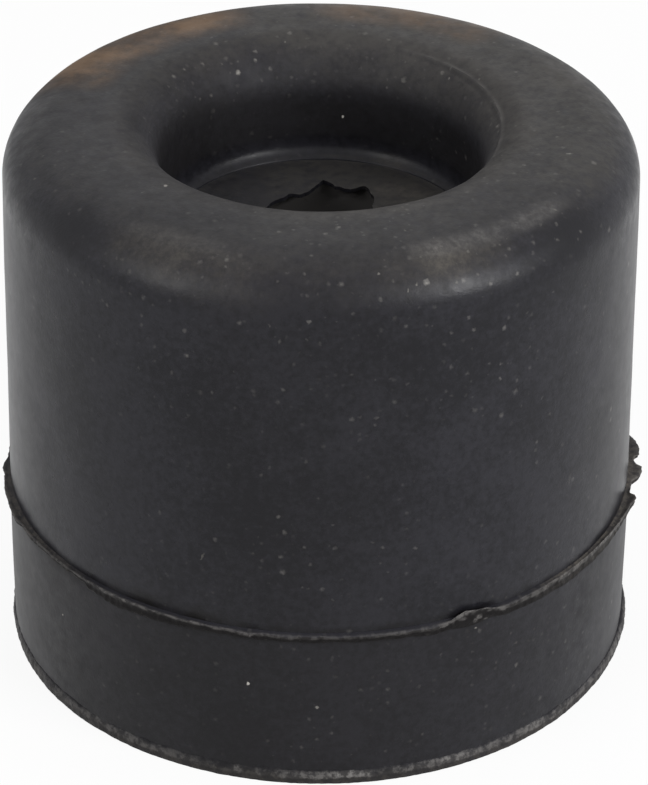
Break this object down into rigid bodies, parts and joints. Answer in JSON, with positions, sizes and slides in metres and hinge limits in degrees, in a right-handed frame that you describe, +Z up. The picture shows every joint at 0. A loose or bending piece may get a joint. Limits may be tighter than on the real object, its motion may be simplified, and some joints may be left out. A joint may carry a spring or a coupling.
{
  "type": "rubber buffer",
  "caption": "Cylindrical rubber buffer with a rounded top, a recessed seat and a bolt bore down its axis, moulded in one piece.",
  "frame": {"origin": "centre of the base, on the axis of the buffer", "axes": "+Z up along the axis, from the flat base to the mouth of the recess; -Y is the front of the picture"},
  "size_m": [0.0826, 0.0817, 0.0712],
  "materials": {
    "black_rubber": "dull moulded rubber, dusty, with worn edges"
  },
  "bodies": {
    "root": {"rubber_buffer": "black_rubber"}
  },
  "joints": []
}
